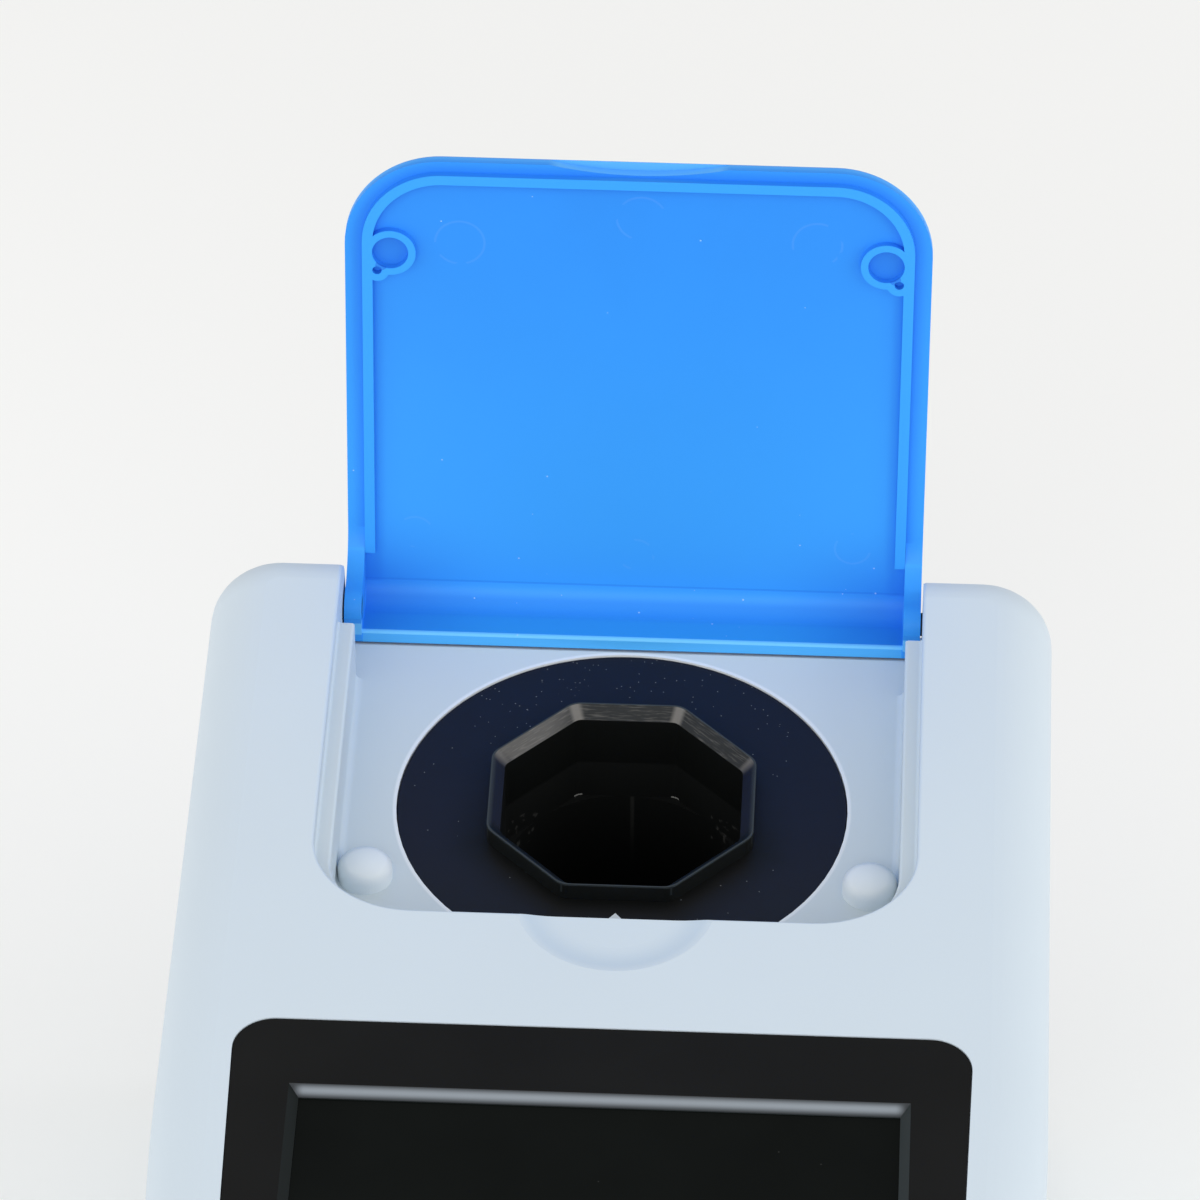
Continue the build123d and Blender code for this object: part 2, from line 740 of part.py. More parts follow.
# Screws that hold the cell holder up against the tub.
with BuildPart() as holder_screws:
    with BuildSketch(deck.offset(tub_underside - holder_plate_thickness)):
        with GridLocations(2 * holder_screw_spot, 2 * holder_screw_spot, 2, 2):
            Circle(holder_head_radius)
    extrude(amount=-holder_head_height)
    with BuildSketch(deck.offset(tub_underside - holder_plate_thickness)):
        with GridLocations(2 * holder_screw_spot, 2 * holder_screw_spot, 2, 2):
            Circle(holder_screw_radius)
    extrude(amount=holder_plate_thickness + holder_screw_bite)
save(holder_screws.part, "holder_screws")

# Optics: the lamp and its lens on the right, one detector opposite and one at a right angle.
with BuildPart() as source_led:
    with BuildSketch(cross_x.offset(lamp_front)):
        Circle(lamp_radius)
    extrude(amount=holder_half - lamp_front)
    with BuildSketch(cross_x.offset(holder_half)):
        Circle(lamp_rim_radius)
    extrude(amount=-1.0)
    fillet(source_led.faces().sort_by(Axis.X)[0].edges(), 1.6)
save(source_led.part, "source_led")

with BuildPart() as source_lens:
    with BuildSketch(cross_x.offset(lens_front)):
        Circle(lens_radius)
    extrude(amount=lens_thickness)
    fillet(source_lens.faces().sort_by(Axis.X)[0].edges(), 0.9)
save(source_lens.part, "source_lens")

with BuildPart() as transmission_detector:
    with BuildSketch(cross_x.offset(-holder_half)):
        Circle(detector_radius)
    extrude(amount=detector_length)
    with BuildSketch(cross_x.offset(-holder_half + detector_length)):
        Circle(detector_eye_radius)
    extrude(amount=0.5)
save(transmission_detector.part, "transmission_detector")

with BuildPart() as scatter_detector:
    with BuildSketch(cross_y.offset(holder_half)):
        Circle(detector_radius)
    extrude(amount=-detector_length)
    with BuildSketch(cross_y.offset(holder_half - detector_length)):
        Circle(detector_eye_radius)
    extrude(amount=-0.5)
save(scatter_detector.part, "scatter_detector")

for name, plane, direction in (
    ("source_board", cross_x, 1),
    ("transmission_board", cross_x, -1),
    ("scatter_board", cross_y, 1),
):
    with BuildPart() as sensor_board:
        with BuildSketch(plane.offset(direction * holder_half)):
            RectangleRounded(sensor_board_width, sensor_board_height, 1.5)
        extrude(amount=direction * board_thickness)
    save(sensor_board.part, name)

# Display panel: the black frame whose window has a bevelled edge.
panel_top = -panel_sink
panel_under = panel_top - panel_thickness
with BuildPart() as display_panel:
    with BuildSketch(deck.offset(panel_under)):
        add(panel_edge)
        with Locations((0, window_middle)):
            Rectangle(2 * window_half_width, window_length, mode=Mode.SUBTRACT)
    extrude(amount=panel_thickness)
    chamfer(display_panel.faces().sort_by(deck_up)[-1].inner_wires().edges(), window_bevel)
save(display_panel.part, "display_panel")


def display_layer(name, top, thickness, margin, opening=None):
    """One flat layer of the display stack, with an opening where it is a frame."""
    with BuildPart() as layer:
        with BuildSketch(deck.offset(top - thickness)):
            with Locations((0, window_middle)):
                Rectangle(2 * (window_half_width + margin), window_length + 2 * margin)
                if opening is not None:
                    clear_width = 2 * (window_half_width + opening)
                    Rectangle(clear_width, window_length + 2 * opening, mode=Mode.SUBTRACT)
        extrude(amount=thickness)
    save(layer.part, name)


pane_under = panel_under - pane_thickness
gasket_under = pane_under - gasket_thickness
glass_under = gasket_under - glass_thickness
backlight_under = glass_under - backlight_thickness
display_layer("display_window", panel_under, pane_thickness, pane_margin)
display_layer("display_gasket", pane_under, gasket_thickness, gasket_margin, 0.6)
display_layer("lcd_glass", gasket_under, glass_thickness, glass_margin)
display_layer("lcd_backlight", glass_under, backlight_thickness, glass_margin)

# Headers: two plastic strips that carry the display above the main board.
with BuildPart() as display_header:
    with BuildSketch(deck.offset(-main_board_depth)):
        for y in (window_rear - header_depth, window_front + header_depth):
            with Locations((0, y)):
                Rectangle(header_width, header_depth)
    extrude(amount=backlight_under + main_board_depth)
save(display_header.part, "display_header")

# Main board with its parts, and the screws that hold both boards to the upper case.
with BuildPart() as main_board:
    with BuildSketch(deck.offset(-main_board_depth - board_thickness)):
        with Locations((0, (main_board_rear + main_board_front) / 2)):
            RectangleRounded(2 * main_board_half, main_board_rear - main_board_front, 3)
        with Locations(*main_screw_spots):
            Circle(board_screw_radius, mode=Mode.SUBTRACT)
        with Locations(*screw_spots):
            Circle(boss_radius + board_clearance, mode=Mode.SUBTRACT)
        add(board_limit, mode=Mode.INTERSECT)
    extrude(amount=board_thickness)
save(main_board.part, "main_board")

with BuildPart() as board_chips:
    with BuildSketch(deck.offset(-main_board_depth - board_thickness)):
        for x, y, width, length in chips:
            with Locations((x, y)):
                Rectangle(width, length)
    extrude(amount=-chip_height)
save(board_chips.part, "board_chips")

with BuildPart() as board_screws:
    for spots, depth in ((key_screw_spots, key_board_depth), (main_screw_spots, main_board_depth)):
        with BuildSketch(deck.offset(-depth - board_thickness)):
            with Locations(*spots):
                Circle(board_screw_head_radius)
        extrude(amount=-board_screw_head_height)
        with BuildSketch(deck.offset(-depth - board_thickness)):
            with Locations(*spots):
                Circle(board_screw_radius)
        extrude(amount=board_thickness + board_screw_bite)
save(board_screws.part, "board_screws")

# Keypad: a board with snap domes, a soft mat over them, and six keys held under the deck by their skirts.
with BuildPart() as key_board:
    with BuildSketch(deck.offset(-key_board_depth - board_thickness)):
        with Locations((0, key_middle)):
            Rectangle(2 * key_board_half, key_board_length)
        with Locations(*key_screw_spots):
            Circle(board_screw_radius, mode=Mode.SUBTRACT)
        with Locations(*front_screw_spots):
            Circle(boss_radius + board_clearance, mode=Mode.SUBTRACT)
        add(board_limit, mode=Mode.INTERSECT)
    extrude(amount=board_thickness)
save(key_board.part, "key_board")

with BuildPart() as key_domes:
    with BuildSketch(deck.offset(-key_board_depth)):
        with Locations(*key_spots):
            Circle(dome_radius)
    extrude(amount=dome_height)
    chamfer(key_domes.faces().group_by(deck_up)[-1].edges(), 0.5)
save(key_domes.part, "key_domes")

with BuildPart() as keypad_mat:
    with BuildSketch(deck.offset(-key_board_depth)):
        with Locations((0, key_middle)):
            Rectangle(2 * key_board_half, key_board_length)
        with Locations(*key_screw_spots):
            Circle(board_boss_radius + key_gap, mode=Mode.SUBTRACT)
        with Locations(*front_screw_spots):
            Circle(boss_radius + board_clearance, mode=Mode.SUBTRACT)
        add(board_limit, mode=Mode.INTERSECT)
    extrude(amount=mat_thickness)
    with BuildSketch(deck.offset(-key_board_depth)):
        with Locations(*key_spots):
            Circle(dome_radius + dome_room)
    extrude(amount=dome_height + dome_room, mode=Mode.SUBTRACT)
save(keypad_mat.part, "keypad_mat")

key_names = ("key_power", "key_up", "key_read", "key_cal", "key_down", "key_mode")
skirt_width = key_width + 2 * key_skirt
skirt_length = key_length + 2 * key_skirt
skirt_top = -wall - key_seat_gap
skirt_bottom = skirt_top - key_skirt_thickness
for name, spot in zip(key_names, key_spots):
    with BuildPart() as key:
        with BuildSketch(deck.offset(skirt_bottom)):
            with Locations(spot):
                RectangleRounded(key_width, key_length, key_corner)
        extrude(amount=key_rise - skirt_bottom)
        fillet(key.faces().sort_by(deck_up)[-1].edges(), 0.8)
        with BuildSketch(deck.offset(skirt_bottom)):
            with Locations(spot):
                RectangleRounded(skirt_width, skirt_length, key_corner + key_skirt)
        extrude(amount=key_skirt_thickness)
        with BuildSketch(deck.offset(key_stem_bottom)):
            with Locations(spot):
                Circle(key_stem_radius)
        extrude(amount=skirt_bottom - key_stem_bottom)
    save(key.part, name)

# Cells and their contacts, lying along the case above the door.
cell_axis_height = bay_ceiling - cell_radius
cell_front = bay_middle - cell_length / 2
cell_rear = bay_middle + cell_length / 2
cell_places = [(column * cell_pitch, cell_axis_height) for column in (-1, 0, 1)]
for number, place in enumerate(cell_places):
    with BuildPart() as cell:
        with BuildSketch(Plane.XZ.offset(-cell_front)):
            with Locations(place):
                Circle(cell_radius)
        extrude(amount=-cell_length)
        fillet(cell.edges(), cell_edge_radius)
        with BuildSketch(Plane.XZ.offset(-cell_rear)):
            with Locations(place):
                Circle(cell_button_radius)
        extrude(amount=-cell_button_height)
    save(cell.part, f"battery_{number + 1}")

with BuildPart() as battery_contacts:
    with BuildSketch(Plane.XZ.offset(-bay_end)):
        with Locations(*cell_places):
            RectangleRounded(contact_width, contact_height, 1.5)
    extrude(amount=bay_end - cell_rear - cell_button_height)
    with BuildSketch(Plane.XZ.offset(-bay_start)):
        with Locations(*cell_places):
            RectangleRounded(contact_width, contact_height, 1.5)
    extrude(amount=-contact_thickness)
    for place in cell_places:
        with BuildSketch(Plane.XZ.offset(-bay_start - contact_thickness)):
            with Locations(place):
                Circle(spring_base_radius)
        with BuildSketch(Plane.XZ.offset(-cell_front)):
            with Locations(place):
                Circle(spring_tip_radius)
        loft()
save(battery_contacts.part, "battery_contacts")

# Battery door: its front edge is rounded about two stub pins, and it swings out at the rear.
door_rib_span = 2 * (bay_half_width - door_rib_margin)
door_rib_reach = bay_end - bay_start - 4 * door_rib_margin
with BuildPart() as battery_door:
    with BuildSketch(Plane.XY.offset(foot_height)):
        with Locations((0, (door_rear + door_hinge_y) / 2)):
            Rectangle(2 * door_half_width, door_rear - door_hinge_y)
    extrude(amount=door_thickness)
    with BuildSketch(Plane.YZ.offset(-door_half_width)):
        with Locations((door_hinge_y, door_hinge_z)):
            Circle(door_thickness / 2)
    extrude(amount=2 * door_half_width)
    with BuildSketch(Plane.XY.offset(foot_height + door_thickness)):
        with Locations((0, bay_middle)):
            Rectangle(door_rib_span, door_rib_reach)
            offset(amount=-door_rib_thickness, mode=Mode.SUBTRACT)
            with GridLocations(0, door_rib_reach / 5, 1, 4):
                Rectangle(door_rib_span, door_rib_thickness)
    extrude(amount=door_rib_height)
    with BuildSketch(Plane.YZ):
        with Locations((door_hinge_y, door_hinge_z)):
            Circle(door_pin_radius)
    extrude(amount=door_half_width + door_pin_length, both=True)
save(battery_door.part, "battery_door")

# Rubber feet: four round pads, each let into the base.
with BuildPart() as rubber_feet:
    with BuildSketch():
        with Locations(*foot_spots):
            Circle(foot_radius)
    extrude(amount=foot_height + foot_recess)
    chamfer(rubber_feet.faces().group_by(Axis.Z)[0].edges(), foot_chamfer)
save(rubber_feet.part, "rubber_feet")

# Case screws, driven up from the base into the bosses of the upper case.
with BuildPart() as case_screws:
    with BuildSketch(deck.offset(-seam - screw_seat)):
        with Locations(*screw_spots):
            Circle(screw_head_radius)
    extrude(amount=-screw_head_height)
    with BuildSketch(deck.offset(-seam - screw_seat)):
        with Locations(*screw_spots):
            Circle(screw_radius)
    extrude(amount=screw_seat + screw_bite)
save(case_screws.part, "case_screws")

# Flange gasket: a soft flat ring in a groove of the flange's seat.
with BuildPart() as flange_gasket:
    with BuildSketch(deck.offset(flange_seat)):
        Circle(flange_ring_outer)
        Circle(flange_ring_inner, mode=Mode.SUBTRACT)
    extrude(amount=-flange_ring_depth)
save(flange_gasket.part, "flange_gasket")
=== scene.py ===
import math

import bpy
import numpy as np
from mathutils import Matrix, Vector

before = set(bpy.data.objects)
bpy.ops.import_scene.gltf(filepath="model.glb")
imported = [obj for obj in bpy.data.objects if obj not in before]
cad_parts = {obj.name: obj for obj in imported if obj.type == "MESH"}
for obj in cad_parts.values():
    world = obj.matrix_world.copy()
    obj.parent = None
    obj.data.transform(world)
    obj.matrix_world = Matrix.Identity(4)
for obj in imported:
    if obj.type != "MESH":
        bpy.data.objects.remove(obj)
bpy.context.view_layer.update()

# Camera. A long lens looks down over the display end at the open well and the standing lid. Its
# place is set out on the meter's sloping deck: right, to the rear and up, from the well's axis.
millimetre = 0.001
deck_tilt = math.radians(9.0)
well_axis_y = 61.715 * millimetre
deck_height = 76.3 * millimetre
deck = Matrix.Translation((0, well_axis_y, deck_height)) @ Matrix.Rotation(deck_tilt, 4, "X")
camera_on_deck = Vector((25.685, -636.048, 589.894)) * millimetre
camera_turn = math.radians(2.524)
camera_pitch = math.radians(-41.892)
camera_roll = math.radians(-0.097)
camera_level = math.radians(90)
picture_side = 1200
focal_in_pixels = 8295.8
sensor_width = 36.0
nearest_seen = 0.05
farthest_seen = 20.0

camera_data = bpy.data.cameras.new("camera")
camera_data.sensor_width = sensor_width
camera_data.lens = focal_in_pixels * sensor_width / picture_side
camera_data.clip_start = nearest_seen
camera_data.clip_end = farthest_seen
camera = bpy.data.objects.new("camera", camera_data)
bpy.context.scene.collection.objects.link(camera)
camera.matrix_world = (
    deck
    @ Matrix.Translation(camera_on_deck)
    @ Matrix.Rotation(camera_turn, 4, "Z")
    @ Matrix.Rotation(camera_pitch, 4, "X")
    @ Matrix.Rotation(camera_roll, 4, "Y")
    @ Matrix.Rotation(camera_level, 4, "X")
)
bpy.context.scene.camera = camera


# Studio. A pale sweep under the meter in a pale room, with three broad soft lamps: a low one in
# front that fills the standing lid, one to the right, and a weaker one to the left.
class Shade:
    """A socket in a material's node tree. Arithmetic on it adds Math nodes."""

    def __init__(self, tree, socket=None):
        self.tree = tree
        self.socket = socket

    def node(self, kind, settings=None, inputs=None, output=0):
        """Any other node: its type, then its settings, then the values or links of its sockets."""
        made = self.tree.nodes.new("ShaderNode" + kind)
        for key, value in (settings or {}).items():
            if key == "stops":
                for _ in value[2:]:
                    made.color_ramp.elements.new(0.5)
                for stop, (place, colour) in zip(made.color_ramp.elements, value):
                    stop.position = place
                    stop.color = (*colour, 1.0)
            else:
                setattr(made, key, value)
        for key, value in (inputs or {}).items():
            if isinstance(value, Shade):
                self.tree.links.new(value.socket, made.inputs[key])
            else:
                made.inputs[key].default_value = value
        return Shade(self.tree, made.outputs[output])

    def maths(self, operation, *values):
        """A Math node on this socket and up to two more values."""
        return self.node("Math", {"operation": operation}, dict(enumerate((self, *values))))

    def __add__(self, other):
        return self.maths("ADD", other)

    def __mul__(self, other):
        return self.maths("MULTIPLY", other)

    def __sub__(self, other):
        return self.maths("SUBTRACT", other)

    def __rsub__(self, other):
        return self.node("Math", {"operation": "SUBTRACT"}, {0: other, 1: self})

    def __lt__(self, other):
        return self.maths("LESS_THAN", other)

    def __gt__(self, other):
        return self.maths("GREATER_THAN", other)

    def __neg__(self):
        return self.maths("MULTIPLY", -1.0)

    def __abs__(self):
        return self.maths("ABSOLUTE")

    __radd__ = __add__
    __rmul__ = __mul__


def new_finish(name):
    """A material with an empty tree but for its output and one Principled shader."""
    material = bpy.data.materials.new(name)
    material.use_nodes = True
    tree = material.node_tree
    return material, Shade(tree), tree.nodes["Principled BSDF"]


def set_sockets(shader, values):
    """Puts numbers, colours or links on a shader's own sockets."""
    for key, value in values.items():
        if isinstance(value, Shade):
            value.tree.links.new(value.socket, shader.inputs[key])
        else:
            shader.inputs[key].default_value = value


def mixed(shade, share, first, second):
    """Two colours or colour sockets mixed by a share from 0 to 1."""
    values = {"Factor": share, "A": first, "B": second}
    for key in ("A", "B"):
        if isinstance(values[key], tuple):
            values[key] = (*values[key], 1.0)
    return shade.node("Mix", {"data_type": "RGBA"}, values, output="Result")


def made_from(name, points, faces):
    """A mesh object from an array of points and a list of faces."""
    mesh = bpy.data.meshes.new(name)
    mesh.from_pydata(points, [], faces)
    made = bpy.data.objects.new(name, mesh)
    bpy.context.scene.collection.objects.link(made)
    return made


floor_half = 6.0
paper_colour = (0.92, 0.92, 0.91)
paper_seen = (0.985, 0.985, 0.97)
room_colour = (1.0, 1.0, 1.0, 1.0)
room_strength = 0.70
floor = made_from(
    "floor",
    np.array([(-1, -1, 0), (1, -1, 0), (1, 1, 0), (-1, 1, 0)]) * floor_half,
    [(0, 1, 2, 3)],
)
floor_finish, paper, paper_shader = new_finish("floor_paper")
seen = paper.node("LightPath", output="Is Camera Ray")
for ray in ("Is Glossy Ray", "Is Transmission Ray"):
    seen = seen.maths("MAXIMUM", paper.node("LightPath", output=ray))
set_sockets(paper_shader, {
    "Base Color": mixed(paper, seen, paper_colour, paper_seen),
    "Roughness": 0.9,
    "Specular IOR Level": 0.1,
})
floor.data.materials.append(floor_finish)

world = bpy.data.worlds.new("studio")
bpy.context.scene.world = world
world.use_nodes = True
set_sockets(world.node_tree.nodes["Background"], {
    "Color": room_colour,
    "Strength": room_strength,
})


def soft_lamp(name, place, aim, width, height, watts):
    """A broad area lamp at a place, turned to face a point."""
    lamp = bpy.data.lights.new(name, "AREA")
    lamp.shape = "RECTANGLE"
    lamp.size = width
    lamp.size_y = height
    lamp.energy = watts
    made = bpy.data.objects.new(name, lamp)
    bpy.context.scene.collection.objects.link(made)
    turn = (Vector(aim) - Vector(place)).to_track_quat("-Z", "Y")
    made.matrix_world = Matrix.Translation(place) @ turn.to_matrix().to_4x4()


soft_lamp("lamp_right", (1.15, -0.3, 0.55), (0, 0.05, 0.05), 1.1, 1.1, 6.8)
soft_lamp("lamp_left", (-1.25, -0.4, 0.42), (0, 0.05, 0.05), 1.0, 1.0, 4.6)
soft_lamp("lamp_front", (-0.2, -1.3, 0.5), (0, 0.05, 0.08), 1.3, 0.8, 7.6)

bpy.context.scene.view_settings.view_transform = "Standard"


# Case shells. Two halves moulded in pale blue grey plastic with a fine satin grain, screwed
# together round a soft seal, so the parting line shows all round the sides.
def wear(finish, *nodes):
    """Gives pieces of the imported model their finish."""
    for node in nodes:
        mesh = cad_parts[node].data
        mesh.materials.clear()
        mesh.materials.append(finish)


def clouded(shade, place, colour, tint, size):
    """A colour times 1 - tint to 1 + tint, by smooth noise of the given size in metres."""
    cloud = shade.node("TexNoise", None, {"Vector": place, "Scale": 1 / size, "Detail": 3.0})
    low = tuple(c * (1 - tint) for c in colour)
    high = tuple(min(1.0, c * (1 + tint)) for c in colour)
    return shade.node("ValToRGB", {"stops": [(0.35, low), (0.65, high)]}, {"Fac": cloud})


def patchy(shade, place, roughness):
    """A roughness that drifts a little, as handling leaves it."""
    patches = shade.node("TexNoise", None, {"Vector": place, "Scale": 45.0, "Detail": 2.0})
    return roughness - 0.03 + 0.06 * patches


def grained(shade, place, size, depth):
    """A bumped normal from noise of the given size and depth in metres."""
    grain = shade.node("TexNoise", None, {"Vector": place, "Scale": 1 / size, "Detail": 2.0})
    return shade.node("Bump", None, {"Strength": 0.5, "Distance": depth, "Height": grain})


cloud_size = 30.0 * millimetre
fine_grain = 0.25 * millimetre
grain_depth = 0.012 * millimetre


def moulded(name, colour, roughness, tint=0.03, grain=fine_grain, depth=grain_depth, others=None):
    """Moulded plastic or rubber: a slightly clouded colour under a fine grain. The last value
    names other sockets of the shader with what they get."""
    material, shade, shader = new_finish(name)
    place = shade.node("TexCoord", output="Object")
    set_sockets(shader, {
        "Base Color": clouded(shade, place, colour, tint, cloud_size),
        "Roughness": patchy(shade, place, roughness),
        "Normal": grained(shade, place, grain, depth),
        **(others or {}),
    })
    return material


def laid_out_on(shade, plane):
    """Object coordinates measured on a plane of the meter: right, to the rear and up from it."""
    values = {
        "Vector": shade.node("TexCoord", output="Object"),
        "Location": plane.to_translation(),
        "Rotation": plane.to_euler(),
    }
    return shade.node("Mapping", {"vector_type": "TEXTURE"}, values)


def part_of(shade, place, axis):
    """One coordinate of a place: X, Y or Z."""
    return shade.node("SeparateXYZ", None, {"Vector": place}, output=axis)


def ramp(value, start, end):
    """0 before the start, 1 past the end and a smooth step between them."""
    return value.node("MapRange", {"interpolation_type": "SMOOTHSTEP"}, {
        "Value": value, "From Min": start, "From Max": end,
    })


def within(value, low, high):
    """1 where a value lies between two limits."""
    return (value > low) * (value < high)


def reach_from(shade, place, centre):
    """Distance from an upright line through a centre on the plane."""
    flat = shade.node("VectorMath", {"operation": "MULTIPLY"}, {0: place, 1: (1, 1, 0)})
    ends = {0: flat, 1: (*centre, 0)}
    return shade.node("VectorMath", {"operation": "DISTANCE"}, ends, output="Value")


def painted(shade, paint, *layers):
    """A colour with layers laid over it one by one: each is its strength, the mask of where it
    lies and its colour."""
    for strength, mask, colour in layers:
        paint = mixed(shade, strength * mask, paint, colour)
    return paint


case_colour = (0.60, 0.685, 0.755)
case_tint = 0.008
case_roughness = 0.5
# The recess is painted less blue than the case, to offset the lid's blue bounce light.
recess_unbounced_colour = (0.615, 0.69, 0.73)
recess_half = 32.0 * millimetre
recess_front = -27.5 * millimetre
recess_rear = 27.8 * millimetre
recess_bottom = -14.0 * millimetre
recess_fade = (-0.3 * millimetre, -1.6 * millimetre)
# Painted shade on the sloping rim of the finger scoop.
scoop_shade_colour = (0.52, 0.62, 0.715)
scoop_centre = (0.45 * millimetre, -25.0 * millimetre)
scoop_flat = 6.5 * millimetre
scoop_radius = 10.3 * millimetre
scoop_height = (-0.6 * millimetre, 0.1 * millimetre)
scoop_rim_full = 0.88
scoop_edge_full = 0.89
# A painted highlight along the edge of the disc's seat.
seat_highlight_colour = (0.86, 0.89, 0.92)
seat_radius = 23.9 * millimetre
seat_line = (0.4 * millimetre, 0.1 * millimetre)

# Down in the recess the case is painted less blue, to offset the blue light the lid throws into
# it; painted shade on the curved rim of the finger scoop, and a painted highlight round the disc's
# seat.
case_finish, case_shade, case_shader = new_finish("case_plastic")
case_place = laid_out_on(case_shade, deck)
case_x = part_of(case_shade, case_place, "X")
case_y = part_of(case_shade, case_place, "Y")
case_z = part_of(case_shade, case_place, "Z")
in_recess = ramp(case_z, *recess_fade) * (abs(case_x) < recess_half) * (case_y > recess_front)
in_recess = in_recess * (case_z > recess_bottom)
in_recess = in_recess * (case_y - math.tan(deck_tilt) * case_z < recess_rear)
# Where the painted shade lies on the scoop's rim.
from_scoop = reach_from(case_shade, case_place, scoop_centre)
scoop_rim_shade = 0.22 + 0.62 * ramp(from_scoop, scoop_flat, scoop_rim_full * scoop_radius)
scoop_rim_shade = scoop_rim_shade * ramp(from_scoop, scoop_radius, scoop_edge_full * scoop_radius)
scoop_rim_shade = scoop_rim_shade * within(case_z, *scoop_height)
from_well = reach_from(case_shade, case_place, (0, 0))
seat_highlight = ramp(abs(from_well - seat_radius), *seat_line) * in_recess
case_surface = case_shade.node("TexCoord", output="Object")
set_sockets(case_shader, {
    "Base Color": painted(
        case_shade, clouded(case_shade, case_place, case_colour, case_tint, cloud_size),
        (1.0, in_recess, recess_unbounced_colour),
        (1.0, scoop_rim_shade, scoop_shade_colour),
        (0.7, seat_highlight, seat_highlight_colour),
    ),
    "Roughness": patchy(case_shade, case_surface, case_roughness),
    "Normal": grained(case_shade, case_surface, fine_grain, grain_depth),
})
wear(case_finish, "upper_case", "lower_case")
seal_finish = moulded("seal_rubber", (0.03, 0.03, 0.032), 0.75, 0.1)
wear(seal_finish, "case_seal")

# Lid. One moulding of clear blue semi-gloss plastic, its ribs and rings inside, with the faint
# round marks that the mould's ejectors left and a little dust.
lid_open = math.radians(97.5)
hinge = Vector((0, 26.28, -6.88)) * millimetre
lid_frame = (
    deck
    @ Matrix.Translation(hinge)
    @ Matrix.Rotation(-lid_open, 4, "X")
    @ Matrix.Translation(-hinge)
)
# Painted light and shade inside the lid: the plate painted lighter down towards the hinge, painted
# shade beside the ribs, in the curve, the corners, the ring holes and their notches, painted light
# on the rim, the cheeks and the rib tops, the wall painted darker, painted highlights along the
# rounded edge and the lip, and a painted reflection on the thumb scallop.
lid_colour = (0.028, 0.262, 0.84)
lid_low_painted_light = (0.043, 0.346, 0.93)
lid_painted_shade = (0.018, 0.17, 0.70)
lid_painted_light = (0.040, 0.350, 0.93)
lid_wall_shade = (0.034, 0.325, 0.80)
lid_scallop_reflection = (0.115, 0.45, 0.95)
lid_edge_highlight = (0.10, 0.45, 1.0)
lid_lip_light = (0.084, 0.45, 0.95)
lid_lip_highlight = (0.18, 0.60, 1.0)
lid_pale = (0.40, 0.62, 1.0)

# Depths are from the closed lid's outer face, lengths from the well's axis.
face_skin = 0.02 * millimetre
plate_inside = -1.8 * millimetre
rib_side = 28.53 * millimetre
rib_front = 25.15 * millimetre
rib_corner = 7.9 * millimetre
rib_half = 0.55 * millimetre
rib_shade_end = 3.4 * rib_half
rib_rear = 23.5 * millimetre
rib_depth = (plate_inside - 0.9 * millimetre, plate_inside - 0.7 * millimetre)
rim_fade = (1.1 * millimetre, 2.3 * millimetre)
rim_depth = (plate_inside - 0.2 * millimetre, -0.3 * millimetre)
edge_fade = (plate_inside + 0.2 * millimetre, plate_inside + 0.9 * millimetre)
low_fade = (-24.0 * millimetre, 26.0 * millimetre)
inner_fade = (-0.4 * millimetre, -1.4 * millimetre)
cheek_inside = 29.0 * millimetre
cheek_fade = (plate_inside, plate_inside - 1.0 * millimetre)
curve_start = 25.9 * millimetre
curve_fade = (plate_inside - 0.1 * millimetre, plate_inside - 0.8 * millimetre)
wall_fade = (plate_inside - 1.8 * millimetre, plate_inside - 3.4 * millimetre)
wall_inside = 28.5 * millimetre
wall_bottom = -8.15 * millimetre
lip_height = 0.15 * millimetre
lip_line_height = 0.4 * millimetre
lip_line_width = (27.0 * millimetre, wall_inside + 0.3 * millimetre)
corner_fade_x = (13.0 * millimetre, 29.0 * millimetre)
corner_fade_y = (16.0 * millimetre, 28.5 * millimetre)
corner_end = wall_inside + 0.3 * millimetre
corner_top = plate_inside + 0.2 * millimetre
ring_centre = (26.1 * millimetre, 16.05 * millimetre)
ring_hole = 1.92 * millimetre
notch_centre = (27.05 * millimetre, 14.5 * millimetre)
notch_radius = 0.62 * millimetre
notch_top = plate_inside - 0.5 * millimetre
scallop_top = plate_inside + 0.03 * millimetre
scallop_front = -25.5 * millimetre
scallop_fade = (9.7 * millimetre, 8.2 * millimetre)
mark_line = 0.12 * millimetre
ejector_marks = (
    (-18.8, -17.1, 2.6), (0.3, -20.7, 2.6), (18.8, -18.1, 2.6),
    (-23.7, 19.7, 1.9), (0.1, 21.8, 1.9), (23.4, 20.2, 1.9),
)
lid_dust_spacing = 1.6 * millimetre
lid_dust_radius = 0.1 * millimetre
lid_dust_fade = (14.0 * millimetre, 27.0 * millimetre)


def specks(shade, place, spacing, radius, share):
    """Dust: 1 inside small dots, one in the middle of each Voronoi cell whose chance is in the
    share."""
    cells = {"Vector": place, "Scale": 1 / spacing}
    near = shade.node("TexVoronoi", None, cells) < radius / spacing
    chance = shade.node("TexVoronoi", None, cells, output="Color")
    return near * (shade.node("SeparateColor", None, {"Color": chance}, output="Red") < share)


lid_finish, lid_shade, lid_shader = new_finish("lid_plastic")
lid_place = laid_out_on(lid_shade, lid_frame)
lid_x = abs(part_of(lid_shade, lid_place, "X"))
lid_y = part_of(lid_shade, lid_place, "Y")
lid_z = part_of(lid_shade, lid_place, "Z")
on_plate = abs(lid_z - plate_inside) < face_skin
on_front_half = lid_y < 0.0

